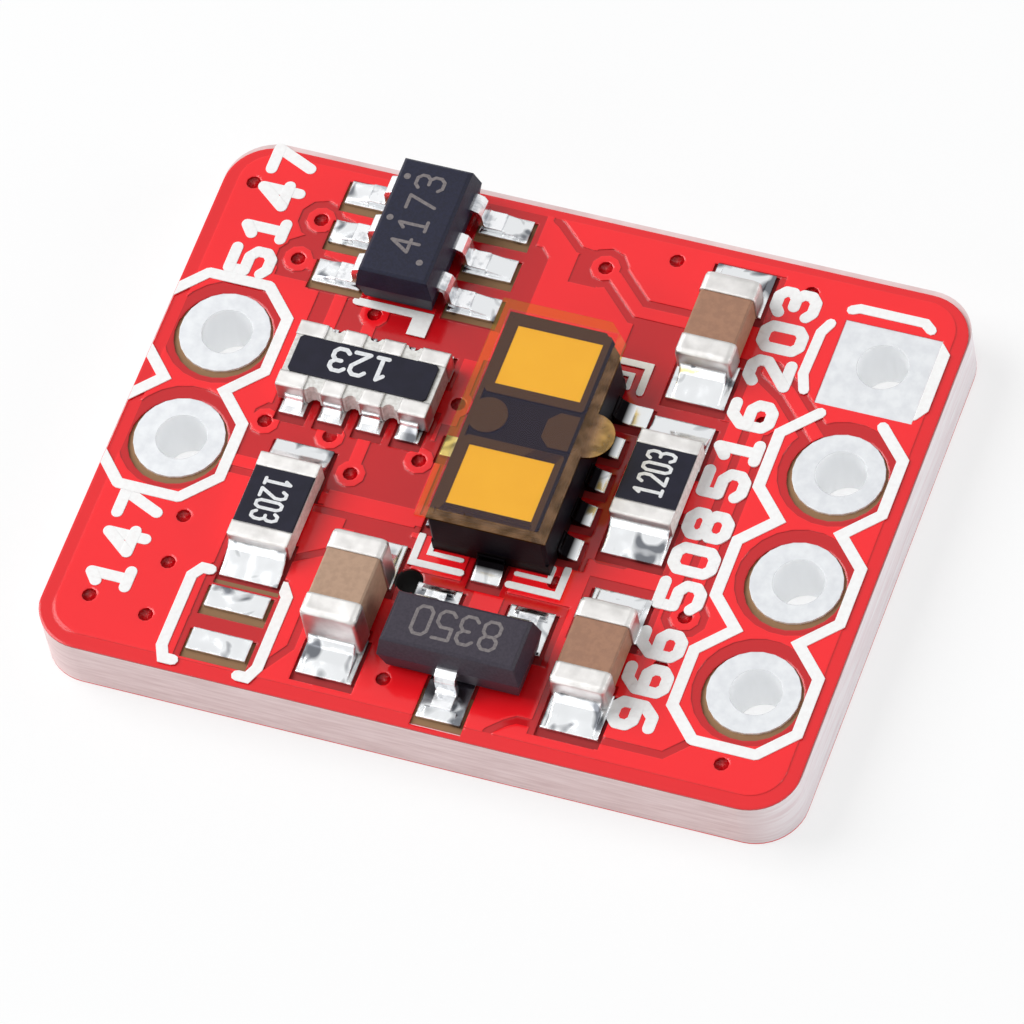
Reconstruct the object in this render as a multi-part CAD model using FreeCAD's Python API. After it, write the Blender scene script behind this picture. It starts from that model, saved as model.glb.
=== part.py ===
import FreeCAD, Part
import math
import os

# Distance sensor module: a small red circuit board with six plated pin holes, a time-of-flight
# ranging sensor under its amber shipping film, a level shifter, a regulator and passive parts.
# Millimetres. Origin: centre of the board's underside. +Z up, +X towards the row of four pins,
# +Y towards the end of that row that has the square pad.

Vector = FreeCAD.Vector
os.makedirs("parts", exist_ok=True)

# Board
board_width = 15.5
board_depth = 12.1
board_thickness = 1.3
corner_radius = 1.0
foil = 0.035
mask = 0.03
mask_sink = 0.02
mask_shift_y = -0.11
mask_margin = 0.07
ring_margin = 0.08
edge_clearance = 0.3
tin = 0.02
legend_ink = 0.02
legend_stroke = 0.23
legend_shift_x = -0.15
legend_shift_y = -0.04

# Pin holes
pin_pitch = 2.54
hole_radius = 0.508
plating = 0.03
pad_radius = 0.91
pad_clearance = 0.29
drill_wander = 0.04
right_row_from_edge = 1.47
left_row_from_edge = 1.33
top_pin_from_edge = 1.99

# Small vias, closed by the mask on both sides, and one open test hole
via_radius = 0.15
via_dimple = 0.055
via_ring = 0.3
pour_gap = 0.2
test_hole_radius = 0.27
test_hole_place = (-0.93, -2.93)

# How many sides stand for a circle that nothing fits
ring_sides = 24
small_sides = 10

# Solder under every surface-mounted part
solder_joint = 0.03
trace_width = 0.26
channel_width = 0.17

# Ranging sensor
sensor_x = 0.47
sensor_y = 0.3
sensor_width = 2.4
sensor_length = 4.88
sensor_height = 1.12
sensor_base_thickness = 0.3
sensor_corner = 0.42
sensor_land_x = 0.5
sensor_land_y = 0.17
sensor_land_pitch = 0.8
sensor_land_width = 0.5
sensor_land_under = 0.35
sensor_side_overhang = 0.35
sensor_end_overhang = 0.36
long_land_extra = 0.3
sensor_land_thickness = 0.03
sensor_fillet_height = 0.24
window_width = 1.75
window_length = 1.37
window_end_margin = 0.345
window_offset_x = -0.07
window_offset_y = 0.07
window_thickness = 0.2
window_frame = 0.21
frame_relief = 0.04
sensor_rim = 0.1
chamber_wall = 0.22
chip_thickness = 0.2
film = 0.05
film_left = 0.22
film_rear = 0.24
film_front = 0.03
film_right = 0.05
film_tab = 0.5
film_tab_width = 1.0

# Level shifter, a six-lead outline
shifter_x = -3.29
shifter_y = 4.33
shifter_width = 1.6
shifter_length = 2.9
shifter_height = 1.05
shifter_span = 2.8
shifter_lead_width = 0.4
shifter_mark_gap = 0.01

# Regulator, a three-lead outline
regulator_x = 0.67
regulator_y = -4.33
regulator_width = 1.3
regulator_length = 2.9
regulator_height = 1.05
regulator_span = 2.45
regulator_lead_width = 0.42
regulator_pad_width = 0.9
regulator_pad_length = 1.0
regulator_pad_offset = 0.94

# Moulded bodies and bent leads of both
lead_pitch = 0.95
lead_thickness = 0.13
lead_bend = 0.12
lead_foot = 0.42
body_standoff = 0.08
body_draft = 0.1
body_chamfer = 0.05
shifter_pad_width = 0.56
shifter_pad_length = 1.0
shifter_pad_span = 3.82

# Four-resistor array
array_x = -3.28
array_y = 1.1
array_length = 3.12
array_width = 1.55
array_height = 0.53
array_pitch = 0.8
array_middle = 1.5
array_terminal = 0.44
array_wrap = 0.34
array_notch = 0.13
array_pad_length = 0.6
array_pad_reach = 1.06

# Chip resistors and capacitors, all set along Y
chip_length = 1.98
chip_wrap = 0.34
metal = 0.03
resistor_width = 1.25
resistor_height = 0.47
capacitor_width = 1.15
capacitor_wrap = 0.46
capacitor_ease = 0.1
capacitor_inset = 0.035
capacitor_fillet_most = 0.42
chip_pad_length = 1.05
chip_pad_reach = 1.63

left_resistor_place = (-3.94, -2.15)
right_resistor_place = (3.04, 0.27)
front_left_capacitor_place = (-1.78, -3.82)
front_left_capacitor_height = 1.19
front_right_capacitor_place = (3.18, -3.74)
rear_right_capacitor_place = (3.06, 3.94)
low_capacitor_height = 0.69

# Solder jumper, left open
jumper_x = -3.98
jumper_rear_y = -4.25
jumper_front_y = -5.25
jumper_pad_width = 1.22
jumper_pad_length = 0.52

# Heights worked out from the stack of layers
laminate_bottom = mask
laminate_top = board_thickness - mask - foil
land_top = laminate_top + foil + tin
land_bottom = laminate_bottom - tin
seat = board_thickness + solder_joint
half_width = board_width / 2
half_depth = board_depth / 2

right_x = half_width - right_row_from_edge
left_x = left_row_from_edge - half_width
first_y = half_depth - top_pin_from_edge
pins = [(right_x, first_y - k * pin_pitch) for k in range(4)]
pins += [(left_x, first_y - k * pin_pitch) for k in (1, 2)]
drills = [(x + drill_wander, y + drill_wander / 2) for (x, y) in pins]

# Lengths of the sensor worked out from the ones above
sensor_land_reach = sensor_width / 2 + sensor_side_overhang
sensor_end_reach = sensor_length / 2 + sensor_end_overhang
window_spacing = sensor_length - window_length - 2 * window_end_margin

vias = [(-7.11, 5.0), (-5.49, 4.5), (-5.62, 3.52), (-3.7, 2.67), (-1.39, 1.12), (0.34, 4.87),
        (1.64, 5.39), (4.43, 5.35), (4.48, 2.25), (-4.93, -0.23), (-3.57, -0.23), (-1.69, -0.31),
        (-2.88, -0.94), (-5.69, -2.7), (-5.61, -3.77), (-6.83, -4.87), (-5.61, -5.0),
        (-0.66, -5.15), (1.79, -2.24), (4.47, -2.32), (4.37, -3.47), (6.2, -5.22)]


def box(x0, x1, y0, y1, z0, z1):
    return Part.makeBox(x1 - x0, y1 - y0, z1 - z0, Vector(x0, y0, z0))


def block(x, y, width, depth, z0, z1):
    return box(x - width / 2, x + width / 2, y - depth / 2, y + depth / 2, z0, z1)


def disc(x, y, radius, z0, z1):
    return Part.makeCylinder(radius, z1 - z0, Vector(x, y, z0))


def ring_disc(x, y, radius, sides, z0, z1):
    corners = []
    for k in range(sides):
        angle = 2 * math.pi * (k + 0.5) / sides
        corners.append((x + radius * math.cos(angle), y + radius * math.sin(angle)))
    return prism(corners, z0, z1)


def prism(points, z0, z1):
    corners = [Vector(x, y, z0) for (x, y) in points]
    wire = Part.makePolygon(corners + corners[:1])
    return Part.Face(wire).extrude(Vector(0, 0, z1 - z0))


def upright_edges(shape):
    found = []
    for edge in shape.Edges:
        ends = [v.Point for v in edge.Vertexes]
        if len(ends) == 2 and abs(ends[0].z - ends[1].z) > 1e-6:
            if math.hypot(ends[0].x - ends[1].x, ends[0].y - ends[1].y) < 1e-6:
                found.append(edge)
    return found


def rounded_plate(x, y, width, depth, radius, z0, z1):
    plate = block(x, y, width, depth, z0, z1)
    return plate.makeFillet(radius, upright_edges(plate))


def clipped_plate(x, y, width, depth, cut, z0, z1):
    """A plate with its four corners cut off at 45 degrees."""
    a = width / 2
    b = depth / 2
    corners = [(a, b - cut), (a - cut, b), (cut - a, b), (-a, b - cut),
               (-a, cut - b), (cut - a, -b), (a - cut, -b), (a, cut - b)]
    return prism([(x + dx, y + dy) for (dx, dy) in corners], z0, z1)


def stroke(points, width, z0, z1):
    """A line drawn with a round pen: mitred at its corners, half an octagon at its ends."""
    half = width / 2
    headings = []
    for (x0, y0), (x1, y1) in zip(points, points[1:]):
        size = math.hypot(x1 - x0, y1 - y0)
        headings.append(((x1 - x0) / size, (y1 - y0) / size))
    left = []
    right = []
    for k in range(1, len(points) - 1):
        (ux, uy), (vx, vy) = headings[k - 1], headings[k]
        reach = half / (1 + ux * vx + uy * vy)
        dx = -(uy + vy) * reach
        dy = (ux + vx) * reach
        x, y = points[k]
        left.append((x + dx, y + dy))
        right.append((x - dx, y - dy))
    ends = []
    for (x, y), (ux, uy) in ((points[0], headings[0]), (points[-1], headings[-1])):
        way = -1 if not ends else 1
        cap = []
        for turn in (90, 45, 0, -45, -90):
            along = math.cos(math.radians(turn)) * half
            across = math.sin(math.radians(turn)) * half
            cap.append((x + way * (ux * along - uy * across), y + way * (uy * along + ux * across)))
        ends.append(cap)
    return [prism(ends[0] + left + ends[1] + list(reversed(right)), z0, z1)]


def joined(shapes):
    return shapes[0].multiFuse(shapes[1:]).removeSplitter() if len(shapes) > 1 else shapes[0]


def save(name, shapes):
    solids = []
    for shape in shapes:
        solids += shape.Solids
    Part.makeCompound(solids).exportStep("parts/" + name + ".step")
    volume = sum(solid.Volume for solid in solids)
    valid = all(solid.isValid() for solid in solids)
    print(name, len(solids), "solids", round(volume, 5), "mm3", "valid" if valid else "NOT VALID")


def board_plate(z0, z1, inset=0.0, shift_y=0.0):
    return rounded_plate(0, shift_y, board_width - 2 * inset, board_depth - 2 * inset,
                         corner_radius - inset, z0, z1)


class Pad:
    """A flat land on the upper copper, with the window of the solder mask printed a little low."""

    def __init__(self, x, y, width, depth, flooded=""):
        self.x = x
        self.y = y
        self.width = width
        self.depth = depth
        self.flooded = flooded

    def land(self, z0, z1):
        return block(self.x, self.y, self.width, self.depth, z0, z1)

    def gap(self, z0, z1):
        grow = {side: 0.0 if side in self.flooded else pour_gap for side in "wens"}
        return box(self.x - self.width / 2 - grow["w"], self.x + self.width / 2 + grow["e"],
                   self.y - self.depth / 2 - grow["s"], self.y + self.depth / 2 + grow["n"], z0, z1)

    def window(self, z0, z1):
        return block(self.x, self.y + mask_shift_y, self.width + 2 * mask_margin,
                     self.depth + 2 * mask_margin, z0, z1)

    def coat(self, z0, z1):
        top = self.y + mask_shift_y + self.depth / 2 + mask_margin
        return box(self.x - self.width / 2, self.x + self.width / 2, self.y - self.depth / 2,
                   min(top, self.y + self.depth / 2), z0, z1)


def chip_pads(place, width, flooded=("", "")):
    x, y = place
    middle = chip_pad_reach - chip_pad_length / 2
    return [Pad(x, y + middle, width, chip_pad_length, flooded[0]),
            Pad(x, y - middle, width, chip_pad_length, flooded[1])]


left_resistor_pads = chip_pads(left_resistor_place, 1.2, ("w", "e"))
right_resistor_pads = chip_pads(right_resistor_place, 1.24)
front_left_pads = chip_pads(front_left_capacitor_place, 1.14, ("w", "swe"))
front_right_pads = chip_pads(front_right_capacitor_place, 1.16, ("", "e"))
rear_right_pads = chip_pads(rear_right_capacitor_place, 1.2, ("nw", ""))

shifter_pads = []
for side in (-1, 1):
    for row in (-1, 0, 1):
        middle = shifter_pad_span / 2 - shifter_pad_length / 2
        shifter_pads.append(Pad(shifter_x + 0.02 + side * middle, shifter_y + row * lead_pitch,
                                shifter_pad_length, shifter_pad_width, "nw" if side < 0 else ""))

regulator_leads = [(-lead_pitch, 1), (lead_pitch, 1), (0, -1)]
regulator_pads = []
for (dx, side) in regulator_leads:
    regulator_pads.append(Pad(regulator_x + dx, regulator_y + side * regulator_pad_offset,
                              regulator_pad_width, regulator_pad_length, "swe" if side < 0 else ""))

array_pads = []
for side in (1, -1):
    for k in range(4):
        array_pads.append(Pad(array_x + (k - array_middle) * array_pitch,
                              array_y + side * (array_pad_reach - array_pad_length / 2),
                              0.5, array_pad_length))

jumper_pads = [Pad(jumper_x, jumper_rear_y, jumper_pad_width, jumper_pad_length),
               Pad(jumper_x, jumper_front_y, jumper_pad_width, jumper_pad_length)]

land_depth = sensor_side_overhang + sensor_land_under
long_lands = ((1, 0), (-1, 2))
sensor_pads = []
for side in (1, -1):
    for k in range(5):
        extra = long_land_extra if (side, k) in long_lands else 0.0
        sensor_pads.append(Pad(sensor_land_x + side * (sensor_land_reach - land_depth / 2 + extra / 2),
                               sensor_land_y + (2 - k) * sensor_land_pitch,
                               land_depth + extra, sensor_land_width))
    sensor_pads.append(Pad(sensor_land_x, sensor_land_y + side * (sensor_end_reach - land_depth / 2),
                           0.56, land_depth))

pads = (left_resistor_pads + right_resistor_pads + front_left_pads + front_right_pads
        + rear_right_pads + shifter_pads + regulator_pads + array_pads + jumper_pads + sensor_pads)


def laminate():
    """The board itself, drilled wider than the pin holes by their plating."""
    core = board_plate(laminate_bottom, laminate_top)
    z1 = board_thickness
    drills_through = [ring_disc(x, y, hole_radius + plating, ring_sides, 0, z1) for (x, y) in drills]
    drills_through.append(disc(test_hole_place[0], test_hole_place[1], test_hole_radius, 0, z1))
    return core.cut(drills_through)


def square_pad(z0, z1):
    x, y = pins[0]
    side = 2 * (pad_radius + ring_margin)
    return block(x, y + mask_shift_y, side, side, z0, z1)


def plated_hole(k):
    """A plated barrel with a tinned land on each face of the board."""
    x, y = drills[k]
    px, py = pins[k]
    barrel = ring_disc(x, y, hole_radius + plating, ring_sides, land_bottom, land_top)
    lower = ring_disc(px, py, pad_radius, ring_sides, land_bottom, laminate_bottom)
    upper = ring_disc(px, py, pad_radius, ring_sides, laminate_top, land_top)
    if k == 0:
        upper = square_pad(laminate_top, land_top)
    return joined([barrel, lower, upper]).cut(disc(x, y, hole_radius, 0, board_thickness))


# Traces are drawn as routes over the places where the pour is cleared
routes = [
    [(0.34, 4.87), (0.6, 4.72), (1.3, 4.07), (2.6, 4.07)],
    [(right_x, pins[1][1]), (right_x - 1.53, 3.05), (right_x - 2.08, 3.4)],
    [(4.47, -2.32), (4.45, 2.25)],
    [(-4.48, 3.3), (-4.48, 2.0)],
    [(-3.7, 2.67), (-3.7, 2.0)],
    [(left_x, pins[5][1] - 0.2), (left_x + 1.12, -1.22), (left_x + 2.22, -1.22)],
    [(-5.49, 4.5), (-4.9, 4.33)],
    [(-5.62, 3.52), (-4.9, 3.38)],
    [(-2.88, 0.3), (-2.88, -0.94)],
]
wide_route = [(-3.6, -1.6), (-0.9, -1.6)]
channels = [
    [(-0.95, 5.7), (-0.82, 5.62), (-0.3, 5.16), (0.0, 5.12)],
    [(3.83, 3.0), (3.83, 2.2)],
    [(1.65, -5.72), (1.93, -5.45), (2.12, -5.33), (5.05, -5.33), (5.5, -4.88)],
    [(-2.63, -4.0), (-2.63, -4.95), (-3.0, -5.5)],
    [(-3.3, -3.05), (-2.65, -2.7)],
    [(2.15, -1.36), (2.45, -1.53), (2.95, -1.53), (3.25, -1.3)],
]
bare_fields = [
    [(-0.28, 4.38), (-0.28, 5.05), (0.0, 5.22), (0.3, 5.22), (0.3, 4.38)],
    [(1.3, 3.92), (2.4, 3.92), (2.4, 3.3), (3.65, 3.3), (3.65, 1.55), (1.3, 1.55)],
    [(-2.9, 5.02), (-1.02, 5.02), (-0.82, 4.82), (-0.82, 3.1), (-2.9, 3.1)],
    [(-4.95, 2.15), (-1.35, 2.15), (-1.35, 2.98), (-4.95, 2.98)],
    [(-5.0, 0.2), (-1.38, 0.2), (-1.38, -1.38), (-4.85, -1.38), (-5.2, -0.9), (-5.2, 0.0)],
    [(-2.6, -1.78), (-1.25, -1.78), (-1.25, -2.15), (-2.6, -2.15)],
    [(-3.3, -1.78), (-2.6, -1.78), (-2.6, -1.94), (-3.3, -1.94)],
    [(-5.95, 3.05), (-5.15, 3.05), (-5.15, 4.15), (-5.6, 4.15), (-5.95, 3.9)],
    [(-4.78, -3.55), (-3.18, -3.55), (-3.18, -5.62), (-4.78, -5.62)],
]


def etched_pattern(z0, z1):
    """Where the upper foil is etched away and the mask lies lower: rings, channels and fields."""
    outer = board_plate(z0, z1)
    gaps = [outer.cut(board_plate(z0, z1, edge_clearance))]
    gaps += [ring_disc(x, y, pad_radius + pad_clearance, ring_sides, z0, z1) for (x, y) in pins[1:]]
    gaps += [pad.gap(z0, z1) for pad in pads]
    for route in routes:
        gaps += stroke(route, trace_width + 2 * channel_width, z0, z1)
    for channel in channels:
        gaps += stroke(channel, channel_width, z0, z1)
    gaps += [prism(points, z0, z1) for points in bare_fields]
    gaps += [ring_disc(x, y, via_ring + channel_width, small_sides, z0, z1)
             for (x, y) in (vias[1], vias[2], vias[5], vias[19])]
    kept = []
    for route in routes:
        kept += stroke(route, trace_width, z0, z1)
    kept += stroke(wide_route, trace_width, z0, z1)
    kept += [ring_disc(x, y, via_ring, small_sides, z0, z1) for (x, y) in vias]
    return joined(gaps).cut(kept)


def upper_mask():
    """The upper solder mask, as one coat with the copper foil that it hides."""
    z0 = laminate_top
    z1 = board_thickness
    coat = board_plate(z0, z1).common(board_plate(z0, z1, 0.02, mask_shift_y))
    tools = [etched_pattern(z1 - mask_sink, z1)]
    tools += [pad.window(z0, z1) for pad in pads]
    tools += [ring_disc(x, y - ring_margin, pad_radius + ring_margin, ring_sides, z0, z1)
              for (x, y) in pins[1:]]
    tools += [ring_disc(x, y, via_radius, small_sides, z1 - via_dimple, z1) for (x, y) in vias]
    tools.append(square_pad(z0, z1))
    tools.append(disc(test_hole_place[0], test_hole_place[1], test_hole_radius, z0, z1))
    return coat.cut(tools).removeSplitter()


def lower_mask():
    """The lower solder mask, flat, with a window round each land."""
    coat = board_plate(0, laminate_bottom)
    tools = [ring_disc(x, y, pad_radius + mask_margin, ring_sides, 0, laminate_bottom)
             for (x, y) in pins]
    tools.append(disc(test_hole_place[0], test_hole_place[1], test_hole_radius, 0, laminate_bottom))
    return coat.cut(tools)


def pin_outline(x, y, count, side):
    """One side of the chain of eight-sided outlines round a row of pins."""
    far = 1.25
    near = pin_pitch / 4
    points = []
    for k in range(count):
        cy = y - k * pin_pitch
        points += [(x + side * near, cy + pin_pitch / 2), (x + side * far, cy + near),
                   (x + side * far, cy - near)]
    points.append((x + side * near, y - (count - 0.5) * pin_pitch))
    return points


def legend():
    z0 = board_thickness
    z1 = board_thickness + legend_ink
    rx = right_x + legend_shift_x
    lx = left_x + legend_shift_x
    ry = first_y - pin_pitch + legend_shift_y
    lines = []
    for side in (-1, 1):
        lines += stroke(pin_outline(rx, ry, 3, side), legend_stroke, z0, z1)
        lines += stroke(pin_outline(lx, ry, 2, side), legend_stroke, z0, z1)
    for (x, y) in ((lx, ry + pin_pitch / 2), (lx, ry - 1.5 * pin_pitch), (rx, ry - 2.5 * pin_pitch)):
        lines += stroke([(x - pin_pitch / 4, y), (x + pin_pitch / 4, y)], legend_stroke, z0, z1)
    gy = first_y + legend_shift_y
    lines += stroke([(rx - 0.8, gy + 1.15), (rx - 0.65, gy + 1.22), (rx + 0.68, gy + 1.22),
                     (rx + 0.84, gy + 1.09)], legend_stroke - 0.02, z0, z1)
    lines += stroke([(rx - 1.1, gy + 0.75), (rx - 1.22, gy + 0.5), (rx - 1.25, gy - 0.5),
                     (rx - 1.12, gy - 0.85)], legend_stroke - 0.02, z0, z1)
    lines += stroke([(rx + 1.08, gy + 0.78), (rx + 1.25, gy + 0.6), (rx + 1.25, gy - 0.66),
                     (rx + 1.1, gy - 0.88)], legend_stroke, z0, z1)
    for side in (-1, 1):
        jx = jumper_x - 0.09 + side * 0.985
        jy = (jumper_rear_y + jumper_front_y) / 2
        lines += stroke([(jx - side * 0.32, jy + 1.03), (jx - side * 0.15, jy + 1.03),
                         (jx, jy + 0.82), (jx, jy - 0.82), (jx - side * 0.12, jy - 1.08),
                         (jx - side * 0.32, jy - 1.08)], legend_stroke, z0, z1)
    for (dx, dy, pen, reach_x, reach_y) in ((1.49, 2.71, 0.15, 1.0, 0.62), (1.22, 2.44, 0.1, 0.66, 0.3)):
        for sx in (-1, 1):
            for sy in (-1, 1):
                cx = sensor_land_x - 0.04 + sx * dx
                cy = sensor_land_y + 0.02 + sy * dy
                lines += stroke([(cx - sx * reach_x, cy), (cx, cy), (cx, cy - sy * reach_y)],
                                pen, z0, z1)
    mark_y = shifter_y - shifter_length / 2 - shifter_mark_gap
    lines += stroke([(shifter_x - 0.85, mark_y), (shifter_x + 0.6, mark_y)], 0.17, z0, z1)
    lines.append(box(shifter_x + 0.35, shifter_x + 0.74, mark_y - 0.48, mark_y + 0.085, z0, z1))
    art = lines[0].multiFuse(lines[1:])
    art = art.common(board_plate(z0, z1, 0.04, mask_shift_y).common(board_plate(z0, z1)))
    holes = [pad.window(z0, z1) for pad in pads]
    holes += [ring_disc(x, y - ring_margin, pad_radius + ring_margin, ring_sides, z0, z1)
              for (x, y) in pins[1:]]
    holes.append(square_pad(z0, z1))
    holes.append(disc(test_hole_place[0], test_hole_place[1], test_hole_radius, z0, z1))
    return art.cut(holes).removeSplitter()


def coats(group):
    return [pad.coat(laminate_top, seat) for pad in group]


def hollow_ramp(foot, heel, peak, sweep):
    """Solder drawn up a wall: straight on its foot and on the wall, hollow between them."""
    low = heel + (foot - heel) * 0.2 + (peak - heel) * 0.12
    curve = []
    for share in (0.33, 0.67):
        curve.append(peak * (1 - share) ** 2 + low * (2 * share * (1 - share)) + foot * share ** 2)
    outline = Part.makePolygon([foot, heel, peak] + curve + [foot])
    return Part.Face(outline).extrude(sweep)


def end_fillets(place, width, length, height, group):
    """Concave solder fillets from the end faces of a chip down to the ends of its pads."""
    x, y = place
    shapes = []
    for side, pad in zip((1, -1), group):
        coat = pad.coat(laminate_top, seat)
        wall = y + side * length / 2
        toe = coat.BoundBox.YMax if side > 0 else coat.BoundBox.YMin
        foot = Vector(x - width / 2, toe, seat)
        heel = Vector(x - width / 2, wall, seat)
        peak = Vector(x - width / 2, wall, seat + height)
        shapes.append(coat.fuse(hollow_ramp(foot, heel, peak, Vector(width, 0, 0))))
    return shapes


def bent_lead(side, body_half, exit_z, span, width):
    """A gull-wing lead in the XZ plane, centred on Y: out of the body, down and along the pad."""
    half = lead_thickness / 2
    reach = span / 2
    knee = body_half + 0.16
    foot_x = reach - lead_foot
    path = [(body_half - 0.12, exit_z), (knee, exit_z), (foot_x, seat + half), (reach, seat + half)]
    left = []
    right = []
    for k, (x, z) in enumerate(path):
        before = path[max(k - 1, 0)]
        after = path[min(k + 1, 3)]
        if k in (0, 3):
            a, b = (path[0], path[1]) if k == 0 else (path[2], path[3])
            size = math.hypot(b[0] - a[0], b[1] - a[1])
            normal = (-(b[1] - a[1]) / size, (b[0] - a[0]) / size)
            left.append([Vector(x + normal[0] * half, 0, z + normal[1] * half)])
            right.append([Vector(x - normal[0] * half, 0, z - normal[1] * half)])
            continue
        ux, uz = x - before[0], z - before[1]
        vx, vz = after[0] - x, after[1] - z
        u = math.hypot(ux, uz)
        v = math.hypot(vx, vz)
        ux, uz, vx, vz = ux / u, uz / u, vx / v, vz / v
        turn = math.acos(ux * vx + uz * vz)
        way = 1 if ux * vz - uz * vx > 0 else -1
        back = lead_bend * math.tan(turn / 2)
        start = (x - ux * back, z - uz * back)
        centre = (start[0] - uz * way * lead_bend, start[1] + ux * way * lead_bend)
        for bank, store in ((1, left), (-1, right)):
            radius = lead_bend - way * bank * half
            stops = []
            for share in (0.0, 0.5, 1.0):
                angle = turn * share * way
                dx, dz = uz * way, -ux * way
                px = dx * math.cos(angle) - dz * math.sin(angle)
                pz = dx * math.sin(angle) + dz * math.cos(angle)
                stops.append(Vector(centre[0] + px * radius, 0, centre[1] + pz * radius))
            store.append(stops)
    bank = [point for stops in left for point in stops]
    bank += [point for stops in reversed(right) for point in reversed(stops)]
    outline = Part.makePolygon(bank + bank[:1])
    lead = Part.Face(outline).extrude(Vector(0, width, 0))
    lead.translate(Vector(0, -width / 2, 0))
    if side < 0:
        lead = lead.mirror(Vector(0, 0, 0), Vector(1, 0, 0))
    return lead


def frustum(x, y, low, high, z0, z1):
    wires = []
    for (width, depth), z in ((low, z0), (high, z1)):
        corners = [Vector(x + sx * width / 2, y + sy * depth / 2, z)
                   for (sx, sy) in ((-1, -1), (1, -1), (1, 1), (-1, 1), (-1, -1))]
        wires.append(Part.makePolygon(corners))
    return Part.makeLoft(wires, True, True)


def moulded_body(x, y, width, depth, height, leads):
    """Epoxy body with draft above and below its parting line, moulded round its leads."""
    z0 = seat + body_standoff
    z1 = seat + height
    middle = (z0 + z1) / 2
    small = (width - 2 * body_draft, depth - 2 * body_draft)
    body = frustum(x, y, small, (width, depth), z0, middle)
    body = body.fuse(frustum(x, y, (width, depth), small, middle, z1)).removeSplitter()
    rims = [edge for edge in body.Edges if edge.BoundBox.ZMin > z1 - 1e-6]
    body = body.makeChamfer(body_chamfer, rims)
    return body.cut(leads)


def shifter_lead_shapes():
    exit_z = seat + (body_standoff + shifter_height) / 2
    shapes = []
    for side in (-1, 1):
        for row in (-1, 0, 1):
            lead = bent_lead(side, shifter_width / 2, exit_z, shifter_span, shifter_lead_width)
            lead.translate(Vector(shifter_x, shifter_y + row * lead_pitch, 0))
            shapes.append(lead)
    return shapes


def regulator_lead_shapes():
    exit_z = seat + (body_standoff + regulator_height) / 2
    shapes = []
    for (dx, side) in regulator_leads:
        lead = bent_lead(1, regulator_width / 2, exit_z, regulator_span, regulator_lead_width)
        lead.rotate(Vector(0, 0, 0), Vector(0, 0, 1), 90 * side)
        lead.translate(Vector(regulator_x + dx, regulator_y, 0))
        shapes.append(lead)
    return shapes


def lead_joints(group, along, leads, feet):
    """Solder on each pad, with a low ramp beyond the toe of the lead."""
    shapes = []
    for pad, (fx, fy, side) in zip(group, feet):
        joint = pad.coat(laminate_top, seat)
        bounds = joint.BoundBox
        width = pad.depth if along == "x" else pad.width
        half = width * 0.36
        if along == "x":
            end = bounds.XMax if side > 0 else bounds.XMin
            points = [Vector(fx, fy - half, seat), Vector(fx, fy - half, seat + lead_thickness * 0.8),
                      Vector(end, fy - half, seat)]
            sweep = Vector(0, 2 * half, 0)
        else:
            end = bounds.YMax if side > 0 else bounds.YMin
            points = [Vector(fx - half, fy, seat), Vector(fx - half, fy, seat + lead_thickness * 0.8),
                      Vector(fx - half, end, seat)]
            sweep = Vector(2 * half, 0, 0)
        ramp = Part.Face(Part.makePolygon(points + points[:1])).extrude(sweep)
        shapes.append(joint.fuse(ramp).cut(leads))
    return shapes


def chip_resistor(name, place, group):
    x, y = place
    z0 = seat
    z1 = seat + resistor_height
    end = chip_length / 2
    body = block(x, y, resistor_width, chip_length - 2 * metal, z0 + metal, z1 - metal)
    caps = []
    for side in (1, -1):
        cap = block(x, y + side * (end - chip_wrap / 2), resistor_width, chip_wrap, z0, z1)
        rims = [edge for edge in cap.Edges if abs(edge.BoundBox.YMin - (y + side * end)) < 1e-6
                and edge.BoundBox.YLength < 1e-6]
        caps.append(cap.makeChamfer(metal * 0.9, rims).cut(body))
    glaze = block(x, y, resistor_width - 0.02, chip_length - 2 * chip_wrap, z1 - metal, z1 + 0.01)
    tops = [edge for edge in glaze.Edges if edge.BoundBox.ZMin > z1]
    save(name + "_ceramic", [body])
    save(name + "_end_caps", caps)
    save(name + "_glaze", [glaze.makeChamfer(metal / 2, tops)])
    save(name + "_solder", end_fillets(place, resistor_width - 0.05, chip_length,
                                       resistor_height * 0.6, group))
    return [body, glaze] + caps


def capacitor_end(x, y, side, z0, z1):
    """Metal end of a capacitor: a rectangle with its corners eased, drawn in towards its face."""
    steps = ((capacitor_wrap, 0.0), (capacitor_ease, 0.0), (capacitor_ease * 0.3, 0.3), (0.0, 1.0))
    wires = []
    for back, draw in steps:
        inset = capacitor_ease * 0.6 * draw
        a = capacitor_width / 2 - inset
        b = (z1 - z0) / 2 - inset
        middle = (z0 + z1) / 2
        cut = capacitor_ease
        corners = []
        for sx, sz in ((1, 1), (-1, 1), (-1, -1), (1, -1)):
            soft = [(a, b - cut), (a - cut * 0.29, b - cut * 0.29), (a - cut, b)]
            if sx * sz < 0:
                soft.reverse()
            corners += [Vector(x + sx * px, y + side * (chip_length / 2 - back), middle + sz * pz)
                        for (px, pz) in soft]
        wires.append(Part.makePolygon(corners + corners[:1]))
    return Part.makeLoft(wires, True, True)


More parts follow.
